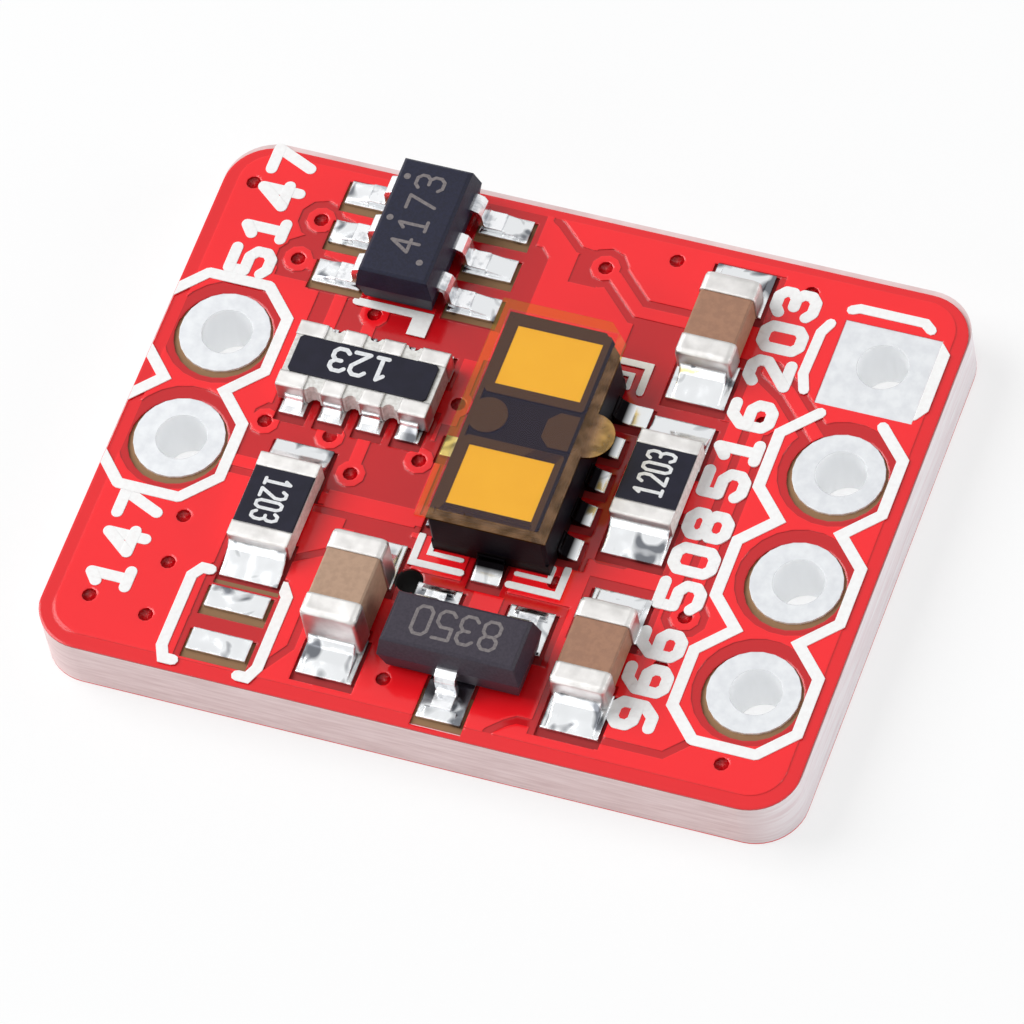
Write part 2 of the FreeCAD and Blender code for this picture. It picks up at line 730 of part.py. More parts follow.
def chip_capacitor(name, place, height, group):
    x, y = place
    z0 = seat
    z1 = seat + height
    body = block(x, y, capacitor_width - 2 * capacitor_inset, chip_length - 4 * capacitor_inset,
                 z0 + capacitor_inset, z1 - capacitor_inset)
    long_edges = [edge for edge in body.Edges if edge.BoundBox.YLength > chip_length / 2]
    body = body.makeChamfer(capacitor_inset, long_edges)
    caps = [capacitor_end(x, y, side, z0, z1).cut(body) for side in (1, -1)]
    save(name + "_ceramic", [body])
    save(name + "_end_caps", caps)
    save(name + "_solder", end_fillets(place, capacitor_width - 2 * capacitor_ease, chip_length,
                                       min(height * 0.45, capacitor_fillet_most), group))


def resistor_array():
    z0 = seat
    z1 = seat + array_height
    half = array_width / 2
    body = block(array_x, array_y, array_length - 0.02, array_width - 2 * metal, z0 + metal, z1 - metal)
    notches = []
    for side in (1, -1):
        for k in (-1, 0, 1):
            notches.append(ring_disc(array_x + k * array_pitch, array_y + side * half, array_notch,
                                     small_sides, z0, z1))
    body = body.cut(notches)
    glaze = clipped_plate(array_x, array_y, array_length - 0.24, array_width - 2 * array_wrap - 0.02,
                          0.06, z1 - metal, z1 + 0.01)
    terminals = []
    joints = []
    for pad, side in zip(array_pads, (1, 1, 1, 1, -1, -1, -1, -1)):
        k = round((pad.x - array_x) / array_pitch + array_middle)
        outer = array_x + (k - array_middle) / array_middle * array_length / 2
        x0 = pad.x - array_terminal / 2 if k > 0 else outer
        x1 = pad.x + array_terminal / 2 if k < 3 else outer
        y0, y1 = sorted((array_y + side * half, array_y + side * (half - array_wrap)))
        wrap = box(x0, x1, y0, y1, z0, z1)
        rims = [edge for edge in wrap.Edges if edge.BoundBox.XLength > array_terminal / 2
                and abs(edge.BoundBox.YMin - (array_y + side * half)) < 1e-6]
        terminals.append(wrap.makeChamfer(metal * 0.9, rims).cut(body))
        coat = pad.coat(laminate_top, seat)
        wall = array_y + side * half
        toe = coat.BoundBox.YMax if side > 0 else coat.BoundBox.YMin
        start = pad.x - array_terminal / 2 + metal
        foot = Vector(start, toe, seat)
        heel = Vector(start, wall, seat)
        peak = Vector(start, wall, seat + array_height / 2)
        sweep = Vector(array_terminal - 2 * metal, 0, 0)
        joints.append(coat.fuse(hollow_ramp(foot, heel, peak, sweep)))
    save("resistor_array_ceramic", [body])
    save("resistor_array_glaze", [glaze])
    save("resistor_array_terminals", terminals)
    save("resistor_array_solder", joints)


def window_places():
    x = sensor_x + window_offset_x
    y = sensor_y + window_offset_y
    return [(x, y + window_spacing / 2), (x, y - window_spacing / 2)]


def sensor_outline(z0, z1, grow=(0.0, 0.0, 0.0, 0.0)):
    """Plan of the sensor, with its rear right corner cut off as the mark for the first land."""
    left, right, front, rear = grow
    x0 = sensor_x - sensor_width / 2 - left
    x1 = sensor_x + sensor_width / 2 + right
    y0 = sensor_y - sensor_length / 2 - front
    y1 = sensor_y + sensor_length / 2 + rear
    return prism([(x0, y0), (x1, y0), (x1, y1 - sensor_corner), (x1 - sensor_corner, y1), (x0, y1)],
                 z0, z1)


def ranging_sensor():
    z0 = seat
    floor = z0 + sensor_base_thickness
    top = z0 + sensor_height
    face = top - frame_relief
    lands = []
    for pad in sensor_pads:
        land = pad.land(z0, z0 + sensor_land_thickness)
        lands.append(land.common(sensor_outline(z0, top)))
    base = sensor_outline(z0, floor).cut(lands)
    cap = sensor_outline(floor, face)
    cap = cap.makeChamfer(0.06, upright_edges(cap))
    frames = []
    bosses = []
    chips = []
    windows = []
    cuts = []
    names = ("receiver", "emitter")
    for (x, y) in window_places():
        frames.append(clipped_plate(x, y, window_width + 2 * window_frame,
                                    window_length + 2 * window_frame, 0.12, face, top))
        windows.append(block(x, y, window_width, window_length, top - window_thickness, top - 0.01))
        cuts.append(block(x, y, window_width, window_length, top - window_thickness, top))
        cuts.append(block(x, y, window_width - 2 * chamber_wall, window_length - 2 * chamber_wall,
                          floor, top))
    middle_y = sum(y for (x, y) in window_places()) / 2
    left = ring_disc(sensor_x - 0.83, middle_y, 0.4, ring_sides, face, top)
    left = left.common(sensor_outline(face, top))
    right = clipped_plate(sensor_x + 0.76, middle_y, 0.84, 0.8, 0.2, face, top)
    bosses = [left, right]
    rim = sensor_outline(face, top).cut(sensor_outline(face, top, (-sensor_rim,) * 4))
    cap = cap.multiFuse(frames + bosses + [rim]).cut(cuts).removeSplitter()
    for (x, y), width, length in zip(window_places(), (1.1, 0.42), (0.8, 0.34)):
        chips.append(block(x, y, width, length, floor, floor + chip_thickness))
    save("sensor_base", [base])
    save("sensor_lands", lands)
    save("sensor_cap", [cap])
    for name, window, chip in zip(names, windows, chips):
        save(name + "_window", [window])
        save(name + "_chip", [chip])
    joints = []
    for pad in sensor_pads:
        coat = pad.coat(laminate_top, seat)
        bounds = coat.BoundBox
        if abs(pad.x - sensor_land_x) > 0.5:
            side = 1 if pad.x > sensor_x else -1
            wall = sensor_x + side * sensor_width / 2
            toe = min(bounds.XMax, wall + 0.34) if side > 0 else max(bounds.XMin, wall - 0.34)
            foot = Vector(toe, bounds.YMin, seat)
            heel = Vector(wall, bounds.YMin, seat)
            sweep = Vector(0, bounds.YLength, 0)
        else:
            side = 1 if pad.y > sensor_y else -1
            wall = sensor_y + side * sensor_length / 2
            toe = bounds.YMax if side > 0 else bounds.YMin
            foot = Vector(bounds.XMin, toe, seat)
            heel = Vector(bounds.XMin, wall, seat)
            sweep = Vector(bounds.XLength, 0, 0)
        peak = heel + Vector(0, 0, sensor_fillet_height)
        joints.append(coat.fuse(hollow_ramp(foot, heel, peak, sweep)))
    save("sensor_solder", joints)
    return top


def protective_film(z0):
    """Thin amber film on the sensor, larger than its face, with a tab to peel it off by."""
    sheet = sensor_outline(z0, z0 + film, (film_left, film_right, film_front, film_rear))
    x = sensor_x + sensor_width / 2 + film_right
    y = sensor_y + window_offset_y + 0.03
    half = film_tab_width / 2
    rise = Part.Arc(Vector(x - 0.1, y + half, z0), Vector(x + film_tab, y, z0),
                    Vector(x - 0.1, y - half, z0)).toShape()
    base = Part.makeLine(Vector(x - 0.1, y - half, z0), Vector(x - 0.1, y + half, z0))
    tab = Part.Face(Part.Wire([rise, base])).extrude(Vector(0, 0, film))
    sheet = sheet.fuse(tab).removeSplitter()
    return sheet


def build():
    save("laminate", [laminate()])
    for k in range(4):
        save("plated_hole_right_" + str(k + 1), [plated_hole(k)])
    for k in range(2):
        save("plated_hole_left_" + str(k + 1), [plated_hole(k + 4)])
    save("solder_mask_top", [upper_mask()])
    save("solder_mask_bottom", [lower_mask()])
    save("legend_outlines", [legend()])

    leads = shifter_lead_shapes()
    save("level_shifter_leads", leads)
    save("level_shifter_body", [moulded_body(shifter_x, shifter_y, shifter_width, shifter_length,
                                             shifter_height, leads)])
    feet = [(shifter_x + side * shifter_span / 2, shifter_y + row * lead_pitch, side)
            for side in (-1, 1) for row in (-1, 0, 1)]
    save("level_shifter_solder", lead_joints(shifter_pads, "x", leads, feet))

    leads = regulator_lead_shapes()
    save("regulator_leads", leads)
    save("regulator_body", [moulded_body(regulator_x, regulator_y, regulator_length, regulator_width,
                                         regulator_height, leads)])
    feet = [(regulator_x + dx, regulator_y + side * regulator_span / 2, side)
            for (dx, side) in regulator_leads]
    save("regulator_solder", lead_joints(regulator_pads, "y", leads, feet))

    resistor_array()
    chip_resistor("left_resistor", left_resistor_place, left_resistor_pads)
    chip_resistor("right_resistor", right_resistor_place, right_resistor_pads)
    chip_capacitor("front_left_capacitor", front_left_capacitor_place, front_left_capacitor_height,
                   front_left_pads)
    chip_capacitor("front_right_capacitor", front_right_capacitor_place, low_capacitor_height,
                   front_right_pads)
    chip_capacitor("rear_right_capacitor", rear_right_capacitor_place, low_capacitor_height,
                   rear_right_pads)
    save("jumper_solder", coats(jumper_pads))

    film_seat = ranging_sensor()
    save("protective_film", [protective_film(film_seat)])


build()
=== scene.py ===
import bpy
import bmesh
from mathutils import Matrix, Vector


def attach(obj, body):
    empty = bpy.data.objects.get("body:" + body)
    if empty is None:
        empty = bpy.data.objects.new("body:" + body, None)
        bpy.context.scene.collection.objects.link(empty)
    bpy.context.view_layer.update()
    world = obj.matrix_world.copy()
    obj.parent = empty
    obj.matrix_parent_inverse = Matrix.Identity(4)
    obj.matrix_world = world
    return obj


# Distance sensor module: a red circuit board the size of a thumbnail, seen close up on a white table.
# Lengths in the dictionaries are millimetres; Blender's own are metres.

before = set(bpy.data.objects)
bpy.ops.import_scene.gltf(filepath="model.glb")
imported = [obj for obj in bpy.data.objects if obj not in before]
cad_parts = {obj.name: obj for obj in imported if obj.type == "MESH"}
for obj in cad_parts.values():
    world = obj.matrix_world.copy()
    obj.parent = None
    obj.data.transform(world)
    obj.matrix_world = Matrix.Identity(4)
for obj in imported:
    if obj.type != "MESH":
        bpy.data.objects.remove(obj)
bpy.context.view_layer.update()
print("frame loaded,", len(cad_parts), "nodes")

mm = 0.001
anyHeight = 1.0    # metres: a reach so tall that height never counts
easeSamples = 6    # rays for a softened edge


def hexColour(code):
    # an sRGB hex code as linear RGBA
    parts = [int(code[k:k + 2], 16) / 255 for k in (1, 3, 5)]
    return [p / 12.92 if p <= 0.04045 else ((p + 0.055) / 1.055) ** 2.4 for p in parts] + [1.0]


def addNode(tree, kind, settings=None, links=None):
    # one node: settings are its own properties or its input values, links are its inputs' sources
    node = tree.nodes.new(kind)
    for name, value in (settings or {}).items():
        if isinstance(name, int) or name in node.inputs:
            node.inputs[name].default_value = value
        else:
            setattr(node, name, value)
    for name, source in (links or {}).items():
        tree.links.new(source, node.inputs[name])
    return node


def newMaterial(name):
    material = bpy.data.materials.new(name)
    material.use_nodes = True
    tree = material.node_tree
    tree.nodes.clear()
    out = addNode(tree, "ShaderNodeOutputMaterial")
    place = addNode(tree, "ShaderNodeTexCoord").outputs["Object"]
    return material, tree, out, place


def perMetre(size):
    # noise scale for features of this many millimetres
    return 1 / (size * mm)


def finishMaterial(tree, out, shader):
    tree.links.new(shader.outputs["BSDF"], out.inputs["Surface"])


# A long lens from the front right, well above the board. place and clip are metres, turn is radians.
camera = {
    "lens": 326.8857,
    "sensorWidth": 36,
    "place": (0.05021767, -0.08598537, 0.15021172),
    "turn": (0.57306453, 0.12216712, 0.34273814),
    "clip": (0.001, 10),
}
cameraData = bpy.data.cameras.new("camera")
cameraData.lens = camera["lens"]
cameraData.sensor_width = camera["sensorWidth"]
cameraData.sensor_fit = "HORIZONTAL"
cameraData.clip_start, cameraData.clip_end = camera["clip"]
cameraObject = bpy.data.objects.new("camera", cameraData)
cameraObject.location = camera["place"]
cameraObject.rotation_euler = camera["turn"]
bpy.context.scene.collection.objects.link(cameraObject)
bpy.context.scene.camera = cameraObject
bpy.context.scene.view_settings.view_transform = "Standard"
print("camera placed")

# Soft white room: a big box lamp from the side of the two pins, a weak one opposite, a card in front
studio = {
    "backdrop": "#ffffff",
    "roomColour": "#f4f6f8",
    "roomStrength": 0.34,
    "floorShare": 0.7,
    "lamps": [
        {"name": "keyBox", "place": (-276, 16, 276), "size": 300, "power": 1.37},
        {"name": "fillBox", "place": (165, 30, 50), "size": 90, "power": 0.085},
        {"name": "frontCard", "place": (-60, -150, 60), "size": 90, "power": 0.035},
    ],
}


def seenDirectly(tree):
    # 1 for what the camera, a gloss or a clear film sees, 0 for the light that falls on things
    path = addNode(tree, "ShaderNodeLightPath")
    either = addNode(tree, "ShaderNodeMath", {"operation": "MAXIMUM"},
                     {0: path.outputs["Is Camera Ray"], 1: path.outputs["Is Glossy Ray"]})
    return addNode(tree, "ShaderNodeMath", {"operation": "MAXIMUM"},
                   {0: either.outputs[0], 1: path.outputs["Is Transmission Ray"]}).outputs[0]


world = bpy.data.worlds.new("studio")
bpy.context.scene.world = world
world.use_nodes = True
roomTree = world.node_tree
roomTree.nodes.clear()
roomOut = addNode(roomTree, "ShaderNodeOutputWorld")
roomLight = addNode(roomTree, "ShaderNodeBackground",
                    {"Color": hexColour(studio["roomColour"]), "Strength": studio["roomStrength"]})
backdrop = addNode(roomTree, "ShaderNodeBackground",
                   {"Color": hexColour(studio["backdrop"]), "Strength": 1.0})
roomMix = addNode(roomTree, "ShaderNodeMixShader", {},
                  {"Fac": seenDirectly(roomTree), 1: roomLight.outputs[0], 2: backdrop.outputs[0]})
roomTree.links.new(roomMix.outputs[0], roomOut.inputs["Surface"])
for lamp in studio["lamps"]:
    lampData = bpy.data.lights.new(lamp["name"], "AREA")
    lampData.shape = "SQUARE"
    lampData.size = lamp["size"] * mm
    lampData.energy = lamp["power"]
    lampObject = bpy.data.objects.new(lamp["name"], lampData)
    lampObject.location = Vector(lamp["place"]) * mm
    lampObject.rotation_euler = (-lampObject.location).to_track_quat("-Z", "Y").to_euler()
    bpy.context.scene.collection.objects.link(lampObject)

# The table is a sheet of matt white paper: it takes the soft shadow and otherwise looks plain white
table = {"size": 900, "colour": "#fdfdfd", "drop": 0.004}
bm = bmesh.new()
bmesh.ops.create_grid(bm, x_segments=1, y_segments=1, size=table["size"] / 2 * mm)
bmesh.ops.translate(bm, verts=bm.verts, vec=(0, 0, -table["drop"] * mm))
tableMesh = bpy.data.meshes.new("table")
bm.to_mesh(tableMesh)
bm.free()
tableObject = bpy.data.objects.new("table", tableMesh)
bpy.context.scene.collection.objects.link(tableObject)
tablePaper, tree, out, place = newMaterial("whitePaperMatt")
paper = addNode(tree, "ShaderNodeBsdfDiffuse", {"Color": hexColour(table["colour"])})
glow = addNode(tree, "ShaderNodeEmission", {"Color": hexColour(studio["backdrop"]), "Strength": 1.0})
share = addNode(tree, "ShaderNodeMath", {"operation": "MULTIPLY", 1: studio["floorShare"]},
                {0: seenDirectly(tree)})
mixed = addNode(tree, "ShaderNodeMixShader", {},
                {"Fac": share.outputs[0], 1: paper.outputs[0], 2: glow.outputs[0]})
tree.links.new(mixed.outputs[0], out.inputs["Surface"])
tableMesh.materials.append(tablePaper)
print("studio built")

# The board's sizes, and how far from the test hole's axis the painted shade on its wall reaches
board = {"half": (7.75, 6.05), "corner": 1.0, "thick": 1.3, "testHole": (-0.93, -2.93),
         "testHoleShadeReach": 0.3}


def rimDistance(tree, place):
    # how far a point lies in from the board's edge, rounded corners too
    mirrored = addNode(tree, "ShaderNodeVectorMath", {"operation": "ABSOLUTE"}, {0: place})
    core = tuple((half - board["corner"]) * mm for half in board["half"]) + (anyHeight,)
    beyond = addNode(tree, "ShaderNodeVectorMath", {"operation": "SUBTRACT", 1: core},
                     {0: mirrored.outputs[0]})
    outside = addNode(tree, "ShaderNodeVectorMath", {"operation": "MAXIMUM", 1: (0, 0, 0)},
                      {0: beyond.outputs[0]})
    reach = addNode(tree, "ShaderNodeVectorMath", {"operation": "LENGTH"}, {0: outside.outputs[0]})
    return addNode(tree, "ShaderNodeMath", {"operation": "SUBTRACT", 0: board["corner"] * mm},
                   {1: reach.outputs["Value"]}).outputs[0]


def boxDistance(tree, place, middle, half):
    # how far a point lies outside a box seen from above, less than nothing inside it
    origin = (middle[0] * mm, middle[1] * mm, 0)
    reach = (half[0] * mm, half[1] * mm, anyHeight)
    centred = addNode(tree, "ShaderNodeVectorMath", {"operation": "SUBTRACT", 1: origin}, {0: place})
    mirrored = addNode(tree, "ShaderNodeVectorMath", {"operation": "ABSOLUTE"}, {0: centred.outputs[0]})
    beyond = addNode(tree, "ShaderNodeVectorMath", {"operation": "SUBTRACT", 1: reach},
                     {0: mirrored.outputs[0]})
    split = addNode(tree, "ShaderNodeSeparateXYZ", {}, {"Vector": beyond.outputs[0]})
    return addNode(tree, "ShaderNodeMath", {"operation": "MAXIMUM"},
                   {0: split.outputs["X"], 1: split.outputs["Y"]}).outputs[0]


# Solder mask: liquid epoxy ink, curtain coated, so it is glossy with a faint orange peel. It is
# bright where copper lies under it, darker where it dips onto the laminate, and darkest in the vias,
# where the deeper red is painted shade of the pits. It draws its corners round. Heights are millimetres
# over the board's underside.
maskLook = {
    "overCopper": "#ff1a24", "overLaminate": "#cc0e18", "inViaShade": "#c4040f", "atRim": "#ee1620",
    "dipTop": 1.297, "dipFloor": 1.284, "viaTop": 1.276, "viaFloor": 1.25, "rim": 0.31,
    "mottle": 1.6, "shade": (0.94, 1.05), "peel": 0.22, "peelDepth": 0.0008,
    "roughness": 0.12, "ior": 1.5, "ease": 0.08, "viaEase": 0.2, "easeSamples": 8,
}


def maskMaterial():
    look = maskLook
    material, tree, out, place = newMaterial("solderMaskRedGloss")
    # heights are folded about the board's middle, so the underside reads as its own top
    upDown = addNode(tree, "ShaderNodeSeparateXYZ", {}, {"Vector": place}).outputs["Z"]
    middle = board["thick"] / 2 * mm
    offset = addNode(tree, "ShaderNodeMath", {"operation": "SUBTRACT", 1: middle}, {0: upDown})
    either = addNode(tree, "ShaderNodeMath", {"operation": "ABSOLUTE"}, {0: offset.outputs[0]})
    height = addNode(tree, "ShaderNodeMath", {"operation": "ADD", 1: middle},
                     {0: either.outputs[0]}).outputs[0]
    sunk = addNode(tree, "ShaderNodeMapRange",
                   {"From Min": look["viaFloor"] * mm, "From Max": look["viaTop"] * mm},
                   {"Value": height}).outputs["Result"]
    atRim = addNode(tree, "ShaderNodeMath", {"operation": "LESS_THAN", 1: look["rim"] * mm},
                    {0: rimDistance(tree, place)}).outputs[0]
    bare = addNode(tree, "ShaderNodeMix",
                   {"data_type": "RGBA", 6: hexColour(look["overLaminate"]), 7: hexColour(look["atRim"])},
                   {0: atRim}).outputs[2]
    # in the vias the colour is painted shade of the pit
    dip = addNode(tree, "ShaderNodeMix",
                  {"data_type": "RGBA", 6: hexColour(look["inViaShade"])}, {0: sunk, 7: bare}).outputs[2]
    raised = addNode(tree, "ShaderNodeMapRange",
                     {"From Min": look["dipFloor"] * mm, "From Max": look["dipTop"] * mm},
                     {"Value": height}).outputs["Result"]
    tone = addNode(tree, "ShaderNodeMix",
                   {"data_type": "RGBA", 7: hexColour(look["overCopper"])},
                   {0: raised, 6: dip}).outputs[2]
    mottle = addNode(tree, "ShaderNodeTexNoise", {"Scale": perMetre(look["mottle"]), "Detail": 3.0},
                     {"Vector": place}).outputs["Fac"]
    shade = addNode(tree, "ShaderNodeMapRange", {"To Min": look["shade"][0], "To Max": look["shade"][1]},
                    {"Value": mottle})
    colour = addNode(tree, "ShaderNodeVectorMath", {"operation": "SCALE"},
                     {"Vector": tone, "Scale": shade.outputs["Result"]})
    peel = addNode(tree, "ShaderNodeTexNoise", {"Scale": perMetre(look["peel"]), "Detail": 2.0},
                   {"Vector": place}).outputs["Fac"]
    # a corner's normal lies halfway between the true one and the eased one
    ease = addNode(tree, "ShaderNodeMapRange",
                   {"To Min": look["viaEase"] * mm, "To Max": look["ease"] * mm}, {"Value": sunk})
    eased = addNode(tree, "ShaderNodeBevel", {"samples": look["easeSamples"]},
                    {"Radius": ease.outputs["Result"]})
    normal = addNode(tree, "ShaderNodeNewGeometry").outputs["Normal"]
    both = addNode(tree, "ShaderNodeVectorMath", {"operation": "ADD"},
                   {0: normal, 1: eased.outputs["Normal"]})
    halfway = addNode(tree, "ShaderNodeVectorMath", {"operation": "NORMALIZE"}, {0: both.outputs[0]})
    bump = addNode(tree, "ShaderNodeBump", {"Strength": 1.0, "Distance": look["peelDepth"] * mm},
                   {"Height": peel, "Normal": halfway.outputs[0]})
    shader = addNode(tree, "ShaderNodeBsdfPrincipled",
                     {"Roughness": look["roughness"], "IOR": look["ior"]},
                     {"Base Color": colour.outputs[0], "Normal": bump.outputs["Normal"]})
    finishMaterial(tree, out, shader)
    return material


# Laminate: woven glass in epoxy. The sawn edge is pale and streaked along the glass layers, and the saw
# leaves its rim pale too; the right side is painted paler still, as painted light. The face beside the
# lands is resin tan where the mask's window is open, and under the chips it is stained by the mask. layer
# and run are the streaks' height and length, and each edge's first colour is theirs.
laminateLook = {
    "endEdge": ("#dcbfbe", "#f3dcdb"), "paintedLitRightEdge": ("#efdfe2", "#fbf6f8"),
    # the colour in the test hole is painted shade on its wall, not the laminate's own colour
    "face": "#8d6a47", "stained": "#9e1a1c", "testHoleShade": "#140d0b",
    # middles and half sizes of the mask's open windows, seen from above
    "open": [((6.28, 0.25), (1.3, 5.5)), ((-6.42, 0.25), (1.3, 2.7)), ((-3.27, 4.33), (2.15, 1.35)),
             ((-3.98, -4.8), (0.8, 0.95)), ((0.67, -5.5), (0.6, 0.4))],
    "layer": 0.09, "run": 1.2, "streaks": (0.3, 0.66), "level": (0.6, 0.9), "rim": 0.14,
    "weave": 0.6, "weaveDepth": 0.006, "roughness": 0.72, "ior": 1.5,
}


def laminateMaterial():
    look = laminateLook
    material, tree, out, place = newMaterial("glassEpoxyLaminate")
    along = perMetre(look["run"])
    stretch = addNode(tree, "ShaderNodeMapping", {"Scale": (along, along, perMetre(look["layer"]))},
                      {"Vector": place})
    streak = addNode(tree, "ShaderNodeTexNoise", {"Scale": 1.0, "Detail": 4.0, "Roughness": 0.6},
                     {"Vector": stretch.outputs[0]}).outputs["Fac"]
    sharp = addNode(tree, "ShaderNodeMapRange",
                    {"From Min": look["streaks"][0], "From Max": look["streaks"][1]}, {"Value": streak})
    endEdge, paintedLitRightEdge = [
        addNode(tree, "ShaderNodeMix", {"data_type": "RGBA", 6: hexColour(dark), 7: hexColour(pale)},
                {0: sharp.outputs["Result"]}).outputs[2]
        for dark, pale in (look["endEdge"], look["paintedLitRightEdge"])]
    normal = addNode(tree, "ShaderNodeNewGeometry").outputs["Normal"]
    facing = addNode(tree, "ShaderNodeSeparateXYZ", {}, {"Vector": normal})
    # faces turned to the right take the paler colour: painted light on that side
    edge = addNode(tree, "ShaderNodeMix", {"data_type": "RGBA"},
                   {0: facing.outputs["X"], 6: endEdge, 7: paintedLitRightEdge})
    onFace = addNode(tree, "ShaderNodeMapRange",
                     {"From Min": look["level"][0], "From Max": look["level"][1]},
                     {"Value": facing.outputs["Z"]})
    inner = addNode(tree, "ShaderNodeMath", {"operation": "GREATER_THAN", 1: look["rim"] * mm},
                    {0: rimDistance(tree, place)})
    bare = addNode(tree, "ShaderNodeMath", {"operation": "MULTIPLY"},
                   {0: onFace.outputs["Result"], 1: inner.outputs[0]})
    nearest = None
    for middle, half in look["open"]:
        distance = boxDistance(tree, place, middle, half)
        if nearest is not None:
            distance = addNode(tree, "ShaderNodeMath", {"operation": "MINIMUM"},
                               {0: nearest, 1: distance}).outputs[0]
        nearest = distance
    stained = addNode(tree, "ShaderNodeMath", {"operation": "GREATER_THAN", 1: 0.0}, {0: nearest})
    face = addNode(tree, "ShaderNodeMix",
                   {"data_type": "RGBA", 6: hexColour(look["face"]), 7: hexColour(look["stained"])},
                   {0: stained.outputs[0]})
    colour = addNode(tree, "ShaderNodeMix", {"data_type": "RGBA"},
                     {0: bare.outputs[0], 6: edge.outputs[2], 7: face.outputs[2]})
    flat = addNode(tree, "ShaderNodeVectorMath", {"operation": "MULTIPLY", 1: (1, 1, 0)}, {0: place})
    # the test hole's wall is painted near black: painted shade inside the hole
    hole = (board["testHole"][0] * mm, board["testHole"][1] * mm, 0)
    away = addNode(tree, "ShaderNodeVectorMath", {"operation": "DISTANCE", 1: hole},
                   {0: flat.outputs[0]})
    inHoleShade = addNode(tree, "ShaderNodeMath",
                     {"operation": "LESS_THAN", 1: board["testHoleShadeReach"] * mm},
                     {0: away.outputs["Value"]})
    final = addNode(tree, "ShaderNodeMix", {"data_type": "RGBA", 7: hexColour(look["testHoleShade"])},
                    {0: inHoleShade.outputs[0], 6: colour.outputs[2]})
    bump = addNode(tree, "ShaderNodeBump",
                   {"Strength": look["weave"], "Distance": look["weaveDepth"] * mm}, {"Height": streak})
    shader = addNode(tree, "ShaderNodeBsdfPrincipled",
                     {"Roughness": look["roughness"], "IOR": look["ior"]},
                     {"Base Color": final.outputs[2], "Normal": bump.outputs["Normal"]})
    finishMaterial(tree, out, shader)
    return material


# Metals of the board. grain is the size in mm of the mottle, where the dull colour gives way to the
# bright one, and lump and depth are the swell's. The dull colour is real grain on lands and terminals and
# painted dark reflection on solder and leads. Each size is drawn as coarse as it needs to show.
solder = {"colour": "#e6e8ea", "dullGrainAndDarkReflection": "#74777d", "grain": 0.62, "roughness": (0.1, 0.2),
          "lump": 0.42, "depth": 0.024, "ease": 0.06, "metallic": 1.0,
          "spread": (0.33, 0.44), "detail": 1.2, "swirl": 1.0}
metalLooks = {
    # tin levelled on the copper with hot air: pale and nearly matt; the walls of the holes are painted
    # brighter, as painted light
    "tinnedLandSatin": {"colour": "#cdcfd1", "dullGrainAndDarkReflection": "#c5c7ca", "grain": 0.2, "roughness": (0.6, 0.7),
                        "lump": 0.5, "depth": 0.002, "ease": 0.02, "metallic": 0.85,
                        "wall": "#f3f4f5"},
    # solder paste, melted and frozen: a bright mirror with painted dark reflections in swirls, and a soft
    # swell
    "reflowedSolder": solder,
    # the same solder at the foot of the sensor, painted near black close to it: a painted reflection of
    # the sensor's black side
    "reflowedSolderPaintedReflection": dict(solder, mirrored="#0b090b", reach=(0.18, 0.34)),
    # tin plated in a barrel over silver paste: a soft, slightly warm sheen with rounded corners
    "platedTerminalTin": {"colour": "#d6d4d2", "dullGrainAndDarkReflection": "#bfbdbb", "grain": 0.4, "roughness": (0.3, 0.42),
                          "lump": 0.4, "depth": 0.012, "ease": 0.07, "metallic": 1.0},
    # tin plated on stamped leads: clean and bright, with a few dark streaks that are painted reflection
    "platedLeadTin": {"colour": "#eff0f2", "dullGrainAndDarkReflection": "#b2b5ba", "grain": 0.3, "roughness": (0.14, 0.28),
                      "lump": 0.25, "depth": 0.006, "ease": 0.03, "metallic": 1.0,
                      "spread": (0.36, 0.5)},
}
metalGrain = {"detail": 4.0, "swirl": 0.0, "spread": (0.35, 0.65), "wallLevel": (0.3, 0.7)}
# the sensor's footprint, seen from above
sensor = {"middle": (0.47, 0.3), "half": (1.2, 2.44)}


